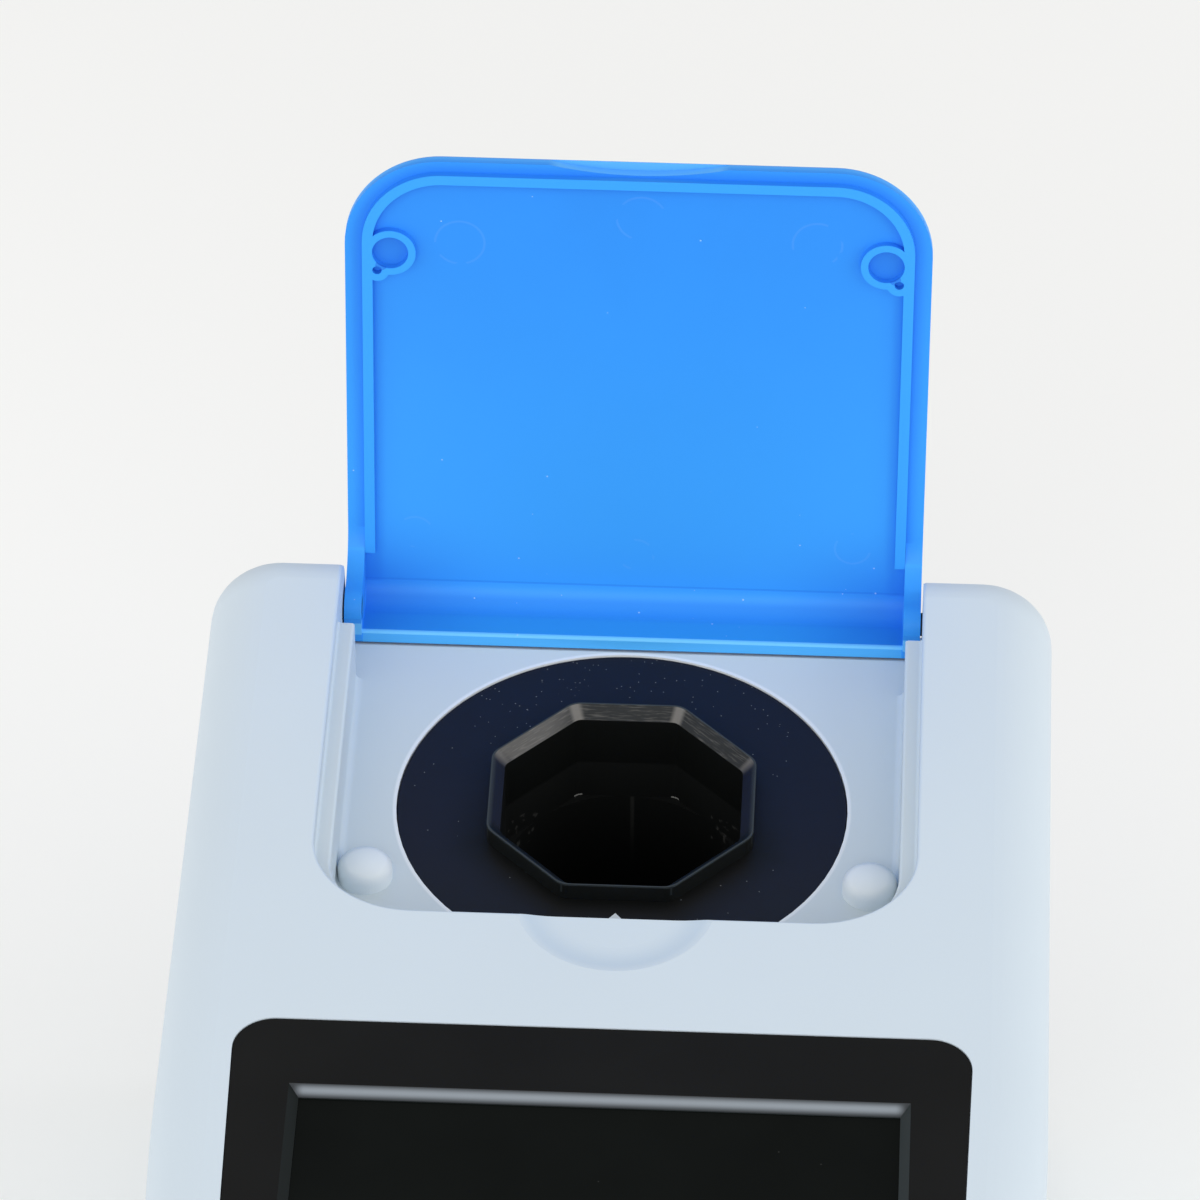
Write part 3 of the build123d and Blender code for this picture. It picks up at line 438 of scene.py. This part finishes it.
# Distance from the rib's middle line, negative inside it: the line is a box whose front corners
# are round, so the distance is max(q, 0)'s length + min(max(q), 0) - radius, q being measured
# from the corners' centres.
beyond_x = lid_x - (rib_side - rib_corner)
beyond_y = -lid_y - (rib_front - rib_corner)
outer_x = beyond_x.maths("MAXIMUM", 0.0)
outer_y = beyond_y.maths("MAXIMUM", 0.0)
from_rib = (outer_x * outer_x + outer_y * outer_y).maths("SQRT")
from_rib = from_rib + beyond_x.maths("MAXIMUM", beyond_y).maths("MINIMUM", 0.0) - rib_corner
# Painted shade on the plate beside the rib, and painted light on the rib's top.
beside_rib = (1.0 - ramp(abs(from_rib), rib_half, rib_shade_end)) * on_plate
rib_top = within(lid_z, *rib_depth) * (lid_y < rib_rear)

# The plate's rim outside the rib, painted lighter, its rounded edge with a painted highlight, and
# the thumb scallop in it with a painted reflection.
outer_rim = ramp(from_rib, *rim_fade) * within(lid_z, *rim_depth)
outer_edge = outer_rim * ramp(lid_z, *edge_fade)
in_scallop = (lid_z > scallop_top) * (lid_y < scallop_front) * ramp(lid_x, *scallop_fade)

# The curved rear wall, painted darker, with painted shade in its curve and its corners, the cheeks
# painted lighter, and the lip painted lighter with a painted highlight along it. Down the lid
# towards the hinge the plate is painted lighter.
lid_lit_low = ramp(lid_y, *low_fade) * ramp(lid_z, *inner_fade)
between_cheeks = lid_x < cheek_inside
in_cheek = ramp(lid_z, *cheek_fade) * (lid_x > cheek_inside)
in_curve = ramp(lid_z, *curve_fade) * between_cheeks
in_wall = ramp(lid_z, *wall_fade) * between_cheeks
curve_line = (abs(lid_y - curve_start) < mark_line) * on_plate
in_corner = ramp(lid_x, *corner_fade_x) * ramp(lid_y, *corner_fade_y)
in_corner = in_corner * (lid_z < corner_top) * (lid_y < corner_end)
on_lip = (lid_z < wall_bottom + lip_height) * between_cheeks
lip_line = (lid_z < wall_bottom + lip_line_height) * within(lid_y, *lip_line_width)

# The hole of each ring and the notch beside it, both in painted shade, and the marks of the
# ejectors as broken circles.
mirrored = lid_shade.node("VectorMath", {"operation": "ABSOLUTE"}, {0: lid_place})
in_ring = (reach_from(lid_shade, mirrored, ring_centre) < ring_hole) * on_front_half * on_plate
in_notch = (reach_from(lid_shade, mirrored, notch_centre) < notch_radius) * on_front_half
in_notch = in_notch * (lid_z < notch_top)
uneven = lid_shade.node("TexNoise", None, {"Vector": lid_place, "Scale": 350.0, "Detail": 1.0})
mark_rings = (uneven > 0.53) * on_plate * sum(
    abs(reach_from(lid_shade, lid_place, (x * millimetre, y * millimetre)) - radius * millimetre)
    < mark_line
    for x, y, radius in ejector_marks
)
dust_share = 0.08 + 0.3 * ramp(lid_y, *lid_dust_fade)
lid_dust = specks(lid_shade, lid_place, lid_dust_spacing, lid_dust_radius, dust_share)
set_sockets(lid_shader, {
    "Base Color": painted(
        lid_shade, clouded(lid_shade, lid_place, lid_colour, 0.02, 20.0 * millimetre),
        (1.0, lid_lit_low, lid_low_painted_light),
        (0.34, beside_rib, lid_painted_shade),
        (0.35, outer_rim, lid_painted_light),
        (0.8, outer_edge, lid_edge_highlight),
        (0.4, in_curve, lid_painted_shade),
        (0.85, in_wall, lid_wall_shade),
        (0.45, in_corner, lid_painted_shade),
        (0.5, in_cheek, lid_painted_light),
        (0.55, in_ring, lid_painted_shade),
        (0.9, rib_top, lid_painted_light),
        (0.8, in_notch, lid_painted_shade),
        (0.9, on_lip, lid_lip_light),
        (0.8, lip_line, lid_lip_highlight),
        (0.8, in_scallop, lid_scallop_reflection),
        (0.35, curve_line, lid_painted_shade),
        (0.055, mark_rings, lid_pale),
        (0.7, lid_dust, lid_pale),
    ),
    "Roughness": 0.42 + 0.06 * uneven,
    "Specular IOR Level": 0.2,
    "Normal": grained(lid_shade, lid_place, 0.6 * millimetre, 0.006 * millimetre),
})
wear(lid_finish, "lid")

# Hinge pins. Two short plated steel pins, one pressed into each ear of the upper case, on which
# the lid's bosses turn.
pin_colour = (0.10, 0.10, 0.11)


metal_line = 0.12 * millimetre
metal_stretch = 8.0


def turned_metal(name, colour, roughness):
    """Machined or plated metal: fine lines in the roughness and in the surface."""
    material, shade, shader = new_finish(name)
    place = shade.node("TexCoord", output="Object")
    stretched = shade.node("Mapping", None, {
        "Vector": place, "Scale": (1.0, metal_stretch, 1.0),
    })
    across = 1 / (metal_stretch * metal_line)
    lines = shade.node("TexNoise", None, {"Vector": stretched, "Scale": across, "Detail": 3.0})
    bump = {"Strength": 0.3, "Distance": 0.01 * millimetre, "Height": lines}
    set_sockets(shader, {
        "Base Color": clouded(shade, place, colour, 0.06, 4.0 * millimetre),
        "Metallic": 1.0,
        "Roughness": roughness + 0.15 * lines,
        "Normal": shade.node("Bump", None, bump),
    })
    return material


wear(turned_metal("pin_steel", pin_colour, 0.45), "hinge_pins")

# Well flange. A fine matt black disc whose octagonal collar takes the vial. The far faces of its
# bored lead-in are painted grey brown as lit faces and carry the cutter's marks; dust lies behind
# it, and a pale triangle is its mark.
# The disc's blue is a painted reflection of the standing blue lid; it is greyer in front, further
# from it.
disc_colour = (0.0070, 0.0082, 0.0178)
disc_colour_near = (0.0075, 0.0088, 0.0150)
# A painted shadow round the collar's near sides; the near sides themselves are painted the same
# dark shade.
disc_shadow = (0.003, 0.0035, 0.0030)
collar_side_shade = (0.0075, 0.0085, 0.0080)
well_colour = (0.0029, 0.0035, 0.0032)
# The lead-in's far faces are painted grey as lit faces, and brighter still as painted highlights.
lead_in_lit_colour = (0.019, 0.021, 0.022)
lead_in_highlight = (0.19, 0.18, 0.165)
# The collar's fine rim line is a painted highlight.
rim_highlight_colour = (0.038, 0.045, 0.047)
dust_colour = (0.24, 0.25, 0.26)
flange_top = -10.6 * millimetre
collar_foot = flange_top + 0.03 * millimetre
collar_top = -8.5 * millimetre
collar_half = 14.0 * millimetre
lead_in_bottom = collar_top - 1.25 * millimetre
mouth_edge = 12.7 * millimetre
eighth_turn = math.pi / 4

# Depths and lengths between which each shade of the disc and the collar comes in.
near_fade = (-4.0 * millimetre, -16.0 * millimetre)
shadow_fade = (collar_half + 5.5 * millimetre, collar_half - 0.5 * millimetre)
shadow_fade_y = (3.0 * millimetre, -9.0 * millimetre)
dust_fade = (2.0 * millimetre, 18.0 * millimetre)
heap_fade = (collar_half + 1.2 * millimetre, collar_half)
heap_fade_y = (4.0 * millimetre, 8.0 * millimetre)
dust_spacing = 0.45 * millimetre
dust_radius = 0.06 * millimetre
facing_fade = (4.5 * millimetre, 6.5 * millimetre)
left_fade = (4.0 * millimetre, 9.0 * millimetre)
joint_fade = (0.42 * eighth_turn, 0.48 * eighth_turn)
streak_fade = (0.46, 0.78)
streaks_around = 500.0
streaks_down = 7000.0
dark_fade = (-3.5 * millimetre, -6.0 * millimetre)
rim_width = 0.12 * millimetre
rim_height = 0.2 * millimetre
near_rim_fade = (collar_half - 0.6 * millimetre, collar_half - 0.2 * millimetre)


def octagon_reach(x, y):
    """Distance from the well's axis square to the nearest of the octagon's sides: the radius
    times the cosine of the angle left after whole eighths of a turn are taken off. The angle
    left comes with it."""
    angle = y.maths("ARCTAN2", x)
    left = (angle + eighth_turn / 2).maths("FLOORED_MODULO", eighth_turn) - eighth_turn / 2
    return (x * x + y * y).maths("SQRT") * left.maths("COSINE"), left


flange_finish, flange_shade, flange_shader = new_finish("flange_plastic")
flange_place = laid_out_on(flange_shade, deck)
flange_x = part_of(flange_shade, flange_place, "X")
flange_y = part_of(flange_shade, flange_place, "Y")
flange_z = part_of(flange_shade, flange_place, "Z")
reach, off_middle = octagon_reach(flange_x, flange_y)

# The disc: blue black, its blue a painted reflection of the lid, greyer in front, with a painted
# soft black shadow round the collar's near sides and dust that thickens behind it.
collar_shadow = ramp(reach, *shadow_fade) * ramp(flange_y, *shadow_fade_y)
dust_share = 0.02 + 0.22 * ramp(flange_y, *dust_fade)
dust_share = dust_share + 0.7 * ramp(reach, *heap_fade) * ramp(flange_y, *heap_fade_y)
dust = specks(flange_shade, flange_place, dust_spacing, dust_radius, dust_share)
disc_paint = painted(
    flange_shade, disc_colour,
    (1.0, ramp(flange_y, *near_fade), disc_colour_near),
    (1.0, collar_shadow, disc_shadow),
    (0.8, dust, dust_colour),
)

# The lead-in's far sides, painted grey as lit faces: streaks round it from the cutter in the same
# painted light, painted brighter to the left, and a painted glint at each rounded joint.
streak_place = flange_shade.node("CombineXYZ", None, {
    "X": streaks_around * (flange_y.maths("ARCTAN2", flange_x) * collar_half),
    "Y": streaks_down * flange_z,
})
streaks = flange_shade.node("TexNoise", None, {
    "Vector": streak_place, "Scale": 1.0, "Detail": 3.0,
})
facing = ramp(flange_y, *facing_fade)
lit_left_side = ramp(-flange_x, *left_fade) * facing
lit_lead_in_paint = painted(
    flange_shade, lead_in_lit_colour,
    (0.48, lit_left_side, lead_in_highlight),
    (1.0, ramp(streaks, *streak_fade) * (0.45 + 0.4 * lit_left_side), lead_in_highlight),
    (0.85, ramp(abs(off_middle), *joint_fade), lead_in_highlight),
)
# The lead-in's near faces go over to painted shadow towards the front.
lead_in_shade_paint = mixed(flange_shade, ramp(flange_y, *dark_fade), disc_colour, disc_shadow)

# The collar: its near sides in the same painted shade as the disc round them, the fine pale line
# of its rim as a painted highlight, the lead-in with its near faces in painted shadow, and the
# well below it.
near_side = (flange_z > collar_foot) * (facing < 0.5)
in_lead_in = (reach < collar_half - rim_width) * (flange_z > lead_in_bottom + face_skin)
near_rim = in_lead_in * ramp(reach, *near_rim_fade) * (1.0 - facing)
down_well = (reach < mouth_edge) * (flange_z < lead_in_bottom + face_skin)
set_sockets(flange_shader, {
    "Base Color": painted(
        flange_shade, disc_paint,
        (1.0, near_side, collar_side_shade),
        (1.0, near_side * (flange_z > collar_top - rim_height), rim_highlight_colour),
        (1.0, in_lead_in, lead_in_shade_paint),
        (1.0, in_lead_in * facing, lit_lead_in_paint),
        (0.7, near_rim, rim_highlight_colour),
        (1.0, flange_z > collar_top - face_skin, rim_highlight_colour),
        (1.0, down_well, well_colour),
    ),
    "Roughness": 0.5 + 0.1 * streaks,
    "Specular IOR Level": 0.2,
    "Normal": grained(flange_shade, flange_place, 0.2 * millimetre, grain_depth),
})
wear(flange_finish, "well_flange")
wear(moulded("mark_fill", (0.62, 0.68, 0.74), 0.6, 0.05), "index_mark")
wear(seal_finish, "flange_gasket")

# Bumpers. Two soft pale domed posts set on the recess floor, one in each front corner.
bumper_colour = (0.80, 0.86, 0.89)
bumper_centre = (26.35 * millimetre, -11.7 * millimetre)
dome_radius = 6.5 * millimetre

# The flat top is shaded as a shallow dome: the height falls by half the squared distance from the
# post's axis over the dome's radius.
bumper_finish, bumper_shade, bumper_shader = new_finish("bumper_rubber")
bumper_place = laid_out_on(bumper_shade, deck)
off_x = abs(part_of(bumper_shade, bumper_place, "X")) - bumper_centre[0]
off_y = part_of(bumper_shade, bumper_place, "Y") - bumper_centre[1]
dome = (off_x * off_x + off_y * off_y) * (-0.5 / dome_radius)
bumper_surface = bumper_shade.node("TexCoord", output="Object")
set_sockets(bumper_shader, {
    "Base Color": clouded(bumper_shade, bumper_surface, bumper_colour, 0.02, cloud_size),
    "Roughness": patchy(bumper_shade, bumper_surface, 0.6),
    "Normal": bumper_shade.node("Bump", None, {"Strength": 1.0, "Distance": 1.0, "Height": dome}),
})
wear(bumper_finish, "bumper_left", "bumper_right")

# Cell holder. The deep matt black block under the recess that locates the vial, moulded in one
# piece, with an octagon above a round well whose seam and ledge catch a little light, painted on
# as a pale seam line and a glint at each corner of the ledge.
holder_colour = (0.0042, 0.005, 0.0047)
glint_and_scrape_colour = (0.40, 0.40, 0.38)
seam_colour = (0.028, 0.029, 0.027)
octagon_bottom = -20.7 * millimetre
octagon_corner = 5.2 * millimetre
glint_half = 0.42 * millimetre
glint_height = (0.04 * millimetre, 0.22 * millimetre)
glint_behind = (11.0 * millimetre, 13.5 * millimetre)
seam_right = 0.6 * millimetre
seam_line = (0.3 * millimetre, 0.1 * millimetre)
seam_fade = (11.0 * millimetre, 2.0 * millimetre)
scrape_side = 9.2 * millimetre
scrape_height = 2.2 * millimetre
scrape_fade = (0.58, 0.68)

holder_finish, holder_shade, holder_shader = new_finish("holder_plastic")
holder_place = laid_out_on(holder_shade, deck)
holder_x = part_of(holder_shade, holder_place, "X")
holder_y = part_of(holder_shade, holder_place, "Y")
above_ledge = part_of(holder_shade, holder_place, "Z") - octagon_bottom
behind = holder_y > 0.0
# Painted glints on the well's wall just above the ledge, at the octagon's corners.
glint = (abs(abs(holder_x) - octagon_corner) < glint_half) * within(above_ledge, *glint_height)
glint = glint * within(holder_y, *glint_behind)
seam = ramp(abs(holder_x - seam_right), *seam_line) * ramp(-above_ledge, *seam_fade)
seam = seam * (above_ledge < 0.0) * behind
scrape = holder_shade.node("TexNoise", None, {
    "Vector": holder_place, "Scale": 900.0, "Detail": 2.0,
})
scrape = ramp(scrape, *scrape_fade) * (abs(holder_x) > scrape_side) * behind
scrape = scrape * (abs(above_ledge) < scrape_height)
holder_surface = holder_shade.node("TexCoord", output="Object")
set_sockets(holder_shader, {
    "Base Color": painted(
        holder_shade, clouded(holder_shade, holder_place, holder_colour, 0.1, cloud_size),
        (0.8, seam, seam_colour),
        (0.12, scrape, glint_and_scrape_colour),
        (0.9, glint, glint_and_scrape_colour),
    ),
    "Roughness": patchy(holder_shade, holder_surface, 0.7),
    "Specular IOR Level": 0.2,
    "Normal": grained(holder_shade, holder_surface, fine_grain, grain_depth),
})
wear(holder_finish, "cell_holder")

# Screws. Zinc plated steel: those that hold the cell holder up, those that close the case from
# below, and those that carry the main board.
screw_finish = turned_metal("screw_steel", (0.55, 0.55, 0.56), 0.3)
wear(screw_finish, "holder_screws", "case_screws", "board_screws")

# Optics. Lamp and lens to the right of the well, a detector opposite and one behind, each in a
# turned metal can. The keys' snap domes are of the same bright metal.
sensor_finish = turned_metal("sensor_metal", (0.68, 0.67, 0.62), 0.22)
wear(sensor_finish, "transmission_detector", "scatter_detector", "key_domes")
lens_finish = moulded(
    "lamp_lens", (0.9, 0.93, 0.95), 0.08, 0.02, 3.0 * millimetre, 0.02 * millimetre,
    {"Transmission Weight": 0.85, "IOR": 1.49},
)
wear(lens_finish, "source_led", "source_lens")

# Circuit boards. Glass laminate under green lacquer, one for each optical part, the main board
# under the display and the key board under the keypad.
board_green = (0.012, 0.09, 0.035)
board_track = (0.022, 0.15, 0.06)
pad_colour = (0.55, 0.5, 0.32)
track_spacing = 2.5 * millimetre
track_width = 0.2 * millimetre
pad_spacing = 3.5 * millimetre
pad_radius = 0.5 * millimetre

# Tracks show under the lacquer as thin lines of a brick pattern, and pads as the dots of Voronoi
# cells.
board_finish, board_shade, board_shader = new_finish("board")
board_place = board_shade.node("TexCoord", output="Object")
tracks = board_shade.node("TexBrick", None, {
    "Vector": board_place, "Scale": 1.0, "Mortar Size": track_width,
    "Brick Width": 4 * track_spacing, "Row Height": track_spacing,
}, output="Fac")
pads = specks(board_shade, board_place, pad_spacing, pad_radius, 0.6)
set_sockets(board_shader, {
    "Base Color": mixed(
        board_shade, pads, mixed(board_shade, tracks, board_green, board_track), pad_colour
    ),
    "Roughness": 0.35 + 0.1 * pads,
    "Normal": grained(board_shade, board_place, 0.5 * millimetre, 0.01 * millimetre),
})
wear(board_finish, "source_board", "transmission_board", "scatter_board")
wear(board_finish, "main_board", "key_board")

# Display. A smooth black frame with a bevelled window, the dark pane in it, and the gasket, glass,
# backlight and plastic strips behind. A painted reflection lies on the rear bevel as one pale
# line.
panel_colour = (0.0085, 0.0087, 0.0085)
bevel_left_shade = (0.013, 0.016, 0.016)
bevel_right_lit = (0.032, 0.039, 0.041)
bevel_reflection = (0.25, 0.28, 0.31)
bevel_edge = (0.045, 0.05, 0.055)
window_rear = -53.6 * millimetre
window_half = 30.1 * millimetre
window_bevel = 1.05 * millimetre
line_fade = (window_half + 0.7 * millimetre, window_half - 0.6 * millimetre)
bevel_top = -0.15 * millimetre

# The bevel's colour comes from its side, as painted light: the left bevel darker, the right one
# lighter and the rear one paler. past_rear is how far a point lies behind the window, and the
# painted reflection is brightest halfway up the rear bevel.
panel_finish, panel_shade, panel_shader = new_finish("panel_plastic")
panel_place = laid_out_on(panel_shade, deck)
across_panel = part_of(panel_shade, panel_place, "X")
panel_x = abs(across_panel)
panel_y = part_of(panel_shade, panel_place, "Y")
past_rear = panel_y - window_rear
on_bevel = (part_of(panel_shade, panel_place, "Z") < bevel_top) * (past_rear < window_bevel)
on_bevel = on_bevel * (panel_x < window_half + window_bevel)
at_rear = on_bevel * (past_rear > 0.0) * (past_rear > panel_x - window_half)
from_left = ramp(across_panel, -window_half, window_half)
side_bevel = mixed(panel_shade, from_left, bevel_left_shade, bevel_right_lit)
up_bevel = past_rear * (1 / window_bevel)
bevel_reflection_line = 4.0 * up_bevel * (1.0 - up_bevel)
bevel_reflection_line = bevel_reflection_line * bevel_reflection_line * ramp(panel_x, *line_fade)
rear_bevel = mixed(panel_shade, bevel_reflection_line, bevel_edge, bevel_reflection)
panel_patches = panel_shade.node("TexNoise", None, {"Vector": panel_place, "Scale": 60.0})
set_sockets(panel_shader, {
    "Base Color": painted(
        panel_shade, clouded(panel_shade, panel_place, panel_colour, 0.15, cloud_size),
        (1.0, on_bevel, side_bevel),
        (1.0, at_rear, rear_bevel),
    ),
    "Roughness": 0.38 + 0.08 * panel_patches,
    "Specular IOR Level": 0.06,
    "Normal": grained(panel_shade, panel_place, 0.3 * millimetre, 0.005 * millimetre),
})
wear(panel_finish, "display_panel")

pane_dust = (0.5, 0.5, 0.5)
pane_dust_spacing = 2.0 * millimetre
pane_dust_radius = 0.08 * millimetre


def dark_glass(name, colour):
    """A polished dark pane with a trace of fine dust."""
    material, shade, shader = new_finish(name)
    place = shade.node("TexCoord", output="Object")
    paint = clouded(shade, place, colour, 0.15, 20.0 * millimetre)
    dots = specks(shade, place, pane_dust_spacing, pane_dust_radius, 0.2)
    set_sockets(shader, {
        "Base Color": mixed(shade, 0.06 * dots, paint, pane_dust),
        "Roughness": 0.2 + 0.1 * shade.node("TexNoise", None, {"Vector": place, "Scale": 80.0}),
        "Specular IOR Level": 0.03,
    })
    return material


wear(dark_glass("window_pane", (0.0045, 0.0055, 0.005)), "display_window")
wear(dark_glass("lcd_glass", (0.03, 0.035, 0.033)), "lcd_glass")
wear(seal_finish, "display_gasket")
wear(moulded("white_plastic", (0.8, 0.81, 0.8), 0.5), "lcd_backlight")
wear(moulded("black_plastic", (0.02, 0.02, 0.022), 0.5, 0.08), "display_header", "board_chips")

# Keypad. Six blue keys held under the deck by their skirts, on a soft grey mat over snap domes.
key_finish = moulded("key_plastic", (0.035, 0.27, 0.80), 0.45, 0.02)
wear(key_finish, "key_power", "key_up", "key_read", "key_cal", "key_down", "key_mode")
wear(moulded("mat_rubber", (0.18, 0.18, 0.19), 0.7, 0.05), "keypad_mat")

# Battery bay. Three cells in dark sleeves with one copper band, between plated contacts, behind a
# door hinged at its front edge.
sleeve_dark = (0.012, 0.013, 0.015)
sleeve_band = (0.30, 0.13, 0.03)
button_colour = (0.6, 0.6, 0.58)
cell_middle = well_axis_y - 88.5 * millimetre
band_along = (9.0 * millimetre, 24.3 * millimetre)
button_start = 24.55 * millimetre

cell_finish, cell_shade, cell_shader = new_finish("cell_sleeve")
cell_place = cell_shade.node("TexCoord", output="Object")
cell_along = part_of(cell_shade, cell_place, "Y") - cell_middle
on_button = cell_along > button_start
set_sockets(cell_shader, {
    "Base Color": painted(
        cell_shade, clouded(cell_shade, cell_place, sleeve_dark, 0.1, 10.0 * millimetre),
        (1.0, within(cell_along, *band_along), sleeve_band),
        (1.0, on_button, button_colour),
    ),
    "Metallic": on_button,
    "Roughness": 0.3 + 0.1 * on_button,
    "Normal": grained(cell_shade, cell_place, 2.0 * millimetre, 0.01 * millimetre),
})
wear(cell_finish, "battery_1", "battery_2", "battery_3")
wear(turned_metal("contact_metal", (0.66, 0.65, 0.6), 0.25), "battery_contacts")
wear(case_finish, "battery_door")

# Feet. Four soft black rubber discs, pressed into shallow pockets in the base so that the meter
# doesn't slide.
foot_finish = moulded("foot_rubber", (0.022, 0.022, 0.023), 0.8, 0.1, 0.5 * millimetre)
wear(foot_finish, "rubber_feet")
